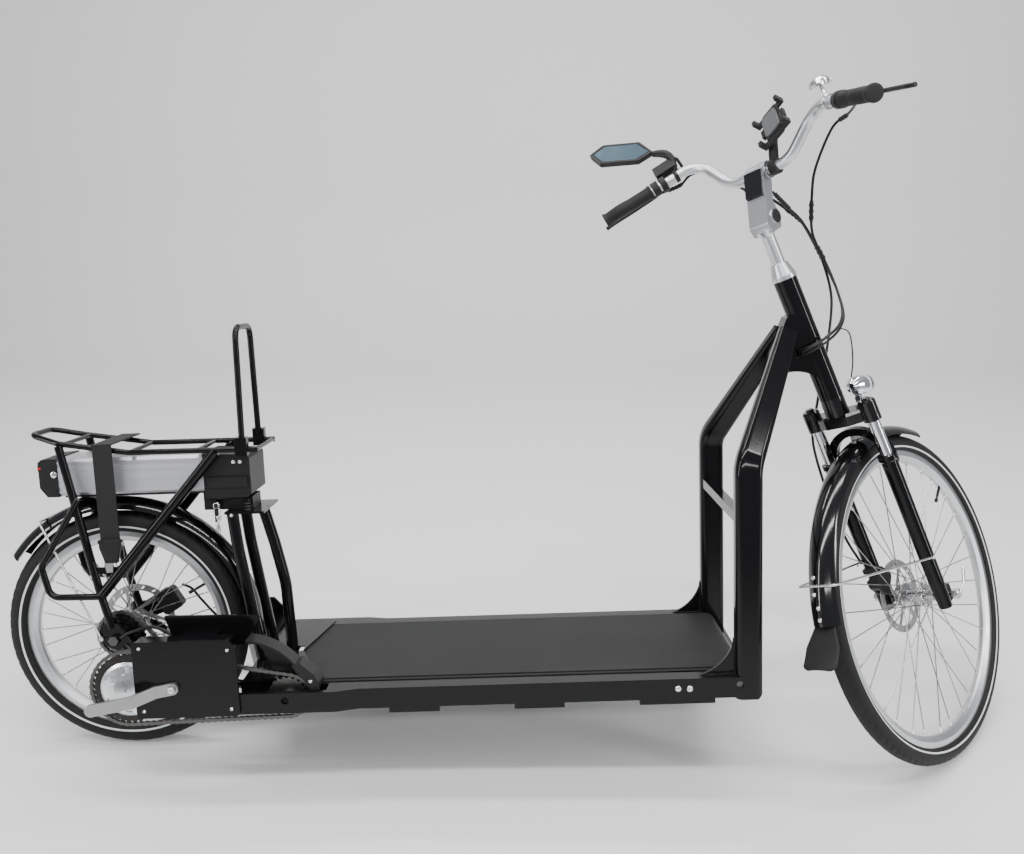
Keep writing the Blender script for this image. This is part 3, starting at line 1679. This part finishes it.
@dataclass
class LampParts:
    """The headlight's bulb and bright reflector, seen through its lens.

    Attributes:
        kit: the steered axes, their body and the finishes.
        tilt_deg: how far the lamp's axis points up; it points down where this is below 0.
        place: the dish's back.
        dish: the dish's profile, rows of radius and height.
        bulb: the bulb's profile.
    """

    kit: Kit
    tilt_deg: float = -14.0
    place: tuple = (92, -6, 474)
    dish: tuple = ((0, 2.5), (6, 2.6), (12, 5), (17, 11), (20, 21), (19.2, 21), (16, 11.6), (11, 6),
                   (5.6, 4), (0, 3.8))
    bulb: tuple = ((0, 3.8), (3, 4), (3.4, 9), (2.6, 12.4), (0, 13.4))

    def build(self) -> None:
        """Makes the dish and the bulb along the lamp's axis."""
        tilt = math.radians(self.tilt_deg)
        columns = facing((math.cos(tilt), 0, math.sin(tilt)), (0, 1, 0))
        dish = put(turned_grid(self.dish, 28), self.place, columns)
        bulb = put(turned_grid(self.bulb, 14), self.place, columns)
        self.kit.piece("lamp_reflector", [dish, bulb], "chrome", "chrome")


@dataclass
class WeldBeads:
    """Painted weld beads where the gussets and the posts meet the rails.

    Attributes:
        kit: the deck's axes, the frame's body and the finishes.
        front: the X of the posts' front faces.
        post_depth: the posts' size along X.
        rail_top: the Z of the rails' top faces.
        gusset_y: the gussets' middle on each side.
        gusset_half: half their thickness.
        gusset_run: how far a gusset runs along its rail.
        gusset_rise: how far it runs up its post.
        foot_span: the bead across a post's foot runs between these distances from the middle.
        seat: how far a bead's middle lies off the faces that it joins.
        thickness: the radius of a bead.
        ripple: how far the radius rises and falls.
        ripple_length: the length of one ripple.
    """

    kit: Kit
    front: float = 1340.0
    post_depth: float = 54.0
    rail_top: float = -71.0
    gusset_y: float = 184.0
    gusset_half: float = 3.0
    gusset_run: float = 62.0
    gusset_rise: float = 72.0
    foot_span: tuple = (166.0, 202.0)
    seat: float = 0.6
    thickness: float = 2.3
    ripple: float = 0.55
    ripple_length: float = 4.2

    def build(self) -> None:
        """Makes the beads beside and behind each gusset, and one behind each post's foot."""
        post = self.front - self.post_depth
        back = post - self.seat
        top = self.rail_top + self.seat
        inner, outer = self.foot_span
        grids = []
        for side in (1, -1):
            for face in (1, -1):
                across = side * self.gusset_y + face * (self.gusset_half + self.seat)
                grids.append(self.bead((post - self.gusset_run, across, top), (post - 2, across, top)))
                grids.append(self.bead((back, across, top + 2), (back, across, top + self.gusset_rise)))
            grids.append(self.bead((back, side * inner, top), (back, side * outer, top)))
        self.kit.piece("weld_beads", grids, "gloss_paint", "black_paint")

    def bead(self, first: ArrayLike, last: ArrayLike) -> np.ndarray:
        """One bead: a thin tube along a straight run, whose radius ripples as a sine.

        Args:
            first: where it starts.
            last: where it ends.

        Returns:
            A grid with seven rings for each five millimetres.
        """
        first, last = np.asarray(first, float), np.asarray(last, float)
        length = np.linalg.norm(last - first)
        share = np.linspace(0.0, 1.0, int(length * 1.4))[:, None]
        wave = np.sin(share[:, 0] * length * FULL_TURN / self.ripple_length)
        return tube_grid(first + share * (last - first), self.thickness + self.ripple * wave, 7)


@dataclass
class StrapParts:
    """The luggage strap's buckle and its bright hook, over the strap's lower end.

    Attributes:
        kit: the deck's axes, the frame's body and the finishes.
        buckle: the buckle's corners, its thickness, how far its edges are drawn in, and its place.
        bar: the same for the bar across the buckle's top.
        hook: the same for the hook.
    """

    kit: Kit
    buckle: tuple = (((-12, 26), (32, 26), (33, 10), (24, -20), (22, -24), (-2, -24), (-4, -20), (-13, 10)),
                     11.0, 2.2, (0, -80.5, 192))
    bar: tuple = (((-14, -3), (34, -3), (34, 3), (-14, 3)), 13.0, 1.4, (0, -80.5, 214))
    hook: tuple = (((-8, 12), (12, 12), (9, -14), (-5, -14)), 5.6, 1.2, (2, -79.5, 161))

    def build(self) -> None:
        """Makes both as softened plates that stand on edge beside the wheel."""
        buckle = [self._plate(self.buckle), self._plate(self.bar)]
        self.kit.piece("strap_buckle", buckle, "plastic", "strap_rubber", smooth=False)
        self.kit.piece("strap_hook", [self._plate(self.hook)], "bright", "steel", smooth=False)

    @staticmethod
    def _plate(part: tuple) -> np.ndarray:
        """One plate, whose corners are places along the deck and up.

        Args:
            part: its corners, its thickness, how far its edges are drawn in, and its place.

        Returns:
            The plate's grid.
        """
        outline, thickness, edge, place = part
        columns = np.column_stack([(1, 0, 0), (0, 0, 1), (0, -1, 0)])
        return put(slab_grid(outline, thickness, edge), place, columns)


@dataclass
class Flap:
    """The front mudguard's rubber flap: a tongue that widens, bows round the tyre and turns out at its lip.

    Attributes:
        kit: the front wheel's axes, the steered body and the finishes.
        seat_radius: the radius of its upper end.
        turned_deg: the angle round the wheel where it is bolted on.
        length: its length.
        half_thickness: half the rubber's thickness.
        narrow: half its width at the top.
        widening: how much wider each half gets.
        bow: how far its sides fall towards the tyre.
        lip: how far its end turns out.
        down_lean: the parts of its length's direction that point outwards and down.
        overlap: how far it reaches up over its seat.
        widening_rate: how many times it could widen fully along its length.
        corner_start: the share of its length where its corners start.
        corner_share: the share of its length that they take.
        rings: how many rings it has.
        points_across: how many points each of its faces has across.
    """

    kit: Kit
    seat_radius: float = 363.4
    turned_deg: float = 160.0
    length: float = 97.0
    half_thickness: float = 1.3
    narrow: float = 19.0
    widening: float = 17.0
    bow: float = 5.0
    lip: float = 7.0
    down_lean: tuple = (0.51, 0.86)
    overlap: float = 7.0
    widening_rate: float = 1.9
    corner_start: float = 0.88
    corner_share: float = 0.125
    rings: int = 40
    points_across: int = 17

    def build(self) -> None:
        """Makes the flap as rings: half width, bow and lip are smooth functions of its length."""
        share = np.linspace(0.0, 1.0, self.rings)[:, None]
        spread = share * share * (3.0 - 2.0 * share)
        past = np.clip(share - self.corner_start, 0.0, 1.0) / self.corner_share
        corner = np.sqrt(np.clip(1.0 - past ** 2, 0.0, 1.0))
        wide = self.narrow + self.widening * np.clip(share * self.widening_rate, 0.0, 1.0)
        half = wide * (0.55 + 0.45 * corner)
        row = np.linspace(-1.0, 1.0, self.points_across)
        across = np.concatenate([row, np.linspace(1.0, -1.0, self.points_across)])
        layer = np.repeat([self.half_thickness, -self.half_thickness], self.points_across)
        out = layer - self.bow * across ** 2 * spread + self.lip * share ** 3
        along = share * self.length - self.overlap
        grid = np.stack(np.broadcast_arrays(half * across, along, out), -1)
        turn = math.radians(self.turned_deg)
        outward = np.array([math.cos(turn), 0.0, math.sin(turn)])
        down = np.array([-math.sin(turn), 0.0, math.cos(turn)])
        lean, fall = self.down_lean
        columns = np.column_stack([(0, 1, 0), lean * outward + fall * down, fall * outward - lean * down])
        placed = put(grid, self.seat_radius * outward, columns)
        made = self.kit.piece("bowed_flap", [placed], "rubber", "strap_rubber")
        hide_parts("mudguard_flap")


@dataclass
class BatteryParts:
    """The battery's tail lamp, side plug, lock barrel and hanging keys.

    Attributes:
        kit: the deck's axes, the frame's body and the finishes.
        lamp: the tail lamp's corners, across and up.
        lamp_depth: its thickness.
        lamp_edge: how far its edges are drawn in.
        lamp_place: its middle.
        plug: the side plug's profile, rows of radius and height.
        plug_place: its seat.
        barrel: the lock barrel's profile.
        barrel_place: its seat.
        ring_place: the key ring's middle.
        ring_half: half the ring's size along X, Y and Z.
        ring_wire: the radius of its wire.
        blade: a key's corners.
        blade_thickness: its thickness.
        blade_edge: how far its edges are drawn in.
        keys_place: where the keys hang.
        keys: each key's lean in radians, and its offset.
    """

    kit: Kit
    lamp: tuple = ((-52, -7), (52, -7), (53.4, 0), (52, 7), (-52, 7), (-53.4, 0))
    lamp_depth: float = 9.0
    lamp_edge: float = 1.4
    lamp_place: tuple = (-136.5, 0, 368)
    plug: tuple = ((0, 1.6), (6, 1.4), (7, 0.6), (7, -0.5), (0, -0.5))
    plug_place: tuple = (-107, -53.2, 354)
    barrel: tuple = ((0, 2.4), (4, 2.4), (7, 2), (7.6, 0), (7.6, -1), (0, -1))
    barrel_place: tuple = (226, -44.2, 275)
    ring_place: tuple = (228, -49, 262)
    ring_half: tuple = (8, 1.5, 9)
    ring_wire: float = 0.7
    blade: tuple = ((-3.5, 0), (-4, -9), (-2, -12), (-1.6, -34), (0, -37), (1.8, -34), (2, -12), (4, -9),
                    (3.5, 0))
    blade_thickness: float = 1.2
    blade_edge: float = 0.3
    keys_place: tuple = (228, -49.5, 262)
    keys: tuple = ((0.28, (6, 0, -6)), (-0.12, (0, 1.5, -8)), (0.1, (3, -1.5, -8)))

    def build(self) -> None:
        """Makes the small pieces on the battery and its dock."""
        lamp = slab_grid(self.lamp, self.lamp_depth, self.lamp_edge)
        backwards = np.column_stack([(0, 1, 0), (0, 0, 1), (1, 0, 0)])
        self.kit.piece("tail_lamp", [put(lamp, self.lamp_place, backwards)], "red", "black_plastic")
        sideways = facing((0, -1, 0), (1, 0, 0))
        plug = put(turned_grid(self.plug), self.plug_place, sideways)
        barrel = put(turned_grid(self.barrel), self.barrel_place, sideways)
        self.kit.piece("battery_plugs", [plug, barrel], "bright", "steel")
        self.kit.piece("hanging_keys", self._ring_and_keys(), "bright", "steel")

    def _ring_and_keys(self) -> list:
        """The ring as a tube round an ellipse, and each key as a thin plate that leans as it hangs.

        Returns:
            The ring's grid and one for each key.
        """
        turn = np.linspace(0.0, FULL_TURN, 25)
        ellipse = np.stack([np.cos(turn), np.sin(turn), np.sin(turn)], -1)
        grids = [tube_grid(np.array(self.ring_place) + ellipse * self.ring_half, self.ring_wire, 6)]
        key = slab_grid(self.blade, self.blade_thickness, self.blade_edge)
        for lean, offset in self.keys:
            cosine, sine = math.cos(lean), math.sin(lean)
            columns = np.column_stack([(cosine, 0, -sine), (sine, 0, cosine), (0, -1, 0)])
            grids.append(put(key, np.add(self.keys_place, offset), columns))
        return grids


def main() -> None:
    """Loads the frame, builds the studio and dresses the bike."""
    logging.basicConfig(level=logging.INFO)
    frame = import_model()
    Studio().build()
    bike = BikeAxes.from_joints(frame["joints"])
    finishes = make_finishes(bike)
    dress(frame, finishes, FINISH_OF_NODES)
    LOG.info("solids dressed")
    front_wheel = Kit(bike.front_wheel, Body.FRONT_WHEEL, finishes)
    rear_wheel = Kit(bike.rear_wheel, Body.REAR_WHEEL, finishes)
    steered = Kit(bike.steered, Body.STEERING, finishes)
    deck = Kit(bike.deck, Body.FRAME, finishes)
    Tyre("treaded_front_tyre", "front_tyre", front_wheel, 355.0, 44.0, 96).build("tyre_front")
    Tyre("treaded_rear_tyre", "rear_tyre", rear_wheel, 262.0, 50.0, 66, 432).build("tyre_rear")
    SpokeEnds("front", front_wheel, 295.0).build()
    SpokeEnds("rear", rear_wheel, 196.0).build()
    Cables(bike, finishes).build()
    Fasteners(bike, finishes).build()
    Grips(steered).build()
    Mirror(steered).build()
    PhoneTray(steered).build()
    Switches(steered).build()
    StemCaps(steered).build()
    LampParts(steered).build()
    BatteryParts(deck).build()
    StrapParts(deck).build()
    WeldBeads(deck).build()
    Flap(Kit(bike.front_wheel, Body.STEERING, finishes)).build()


if __name__ == "__main__":
    main()
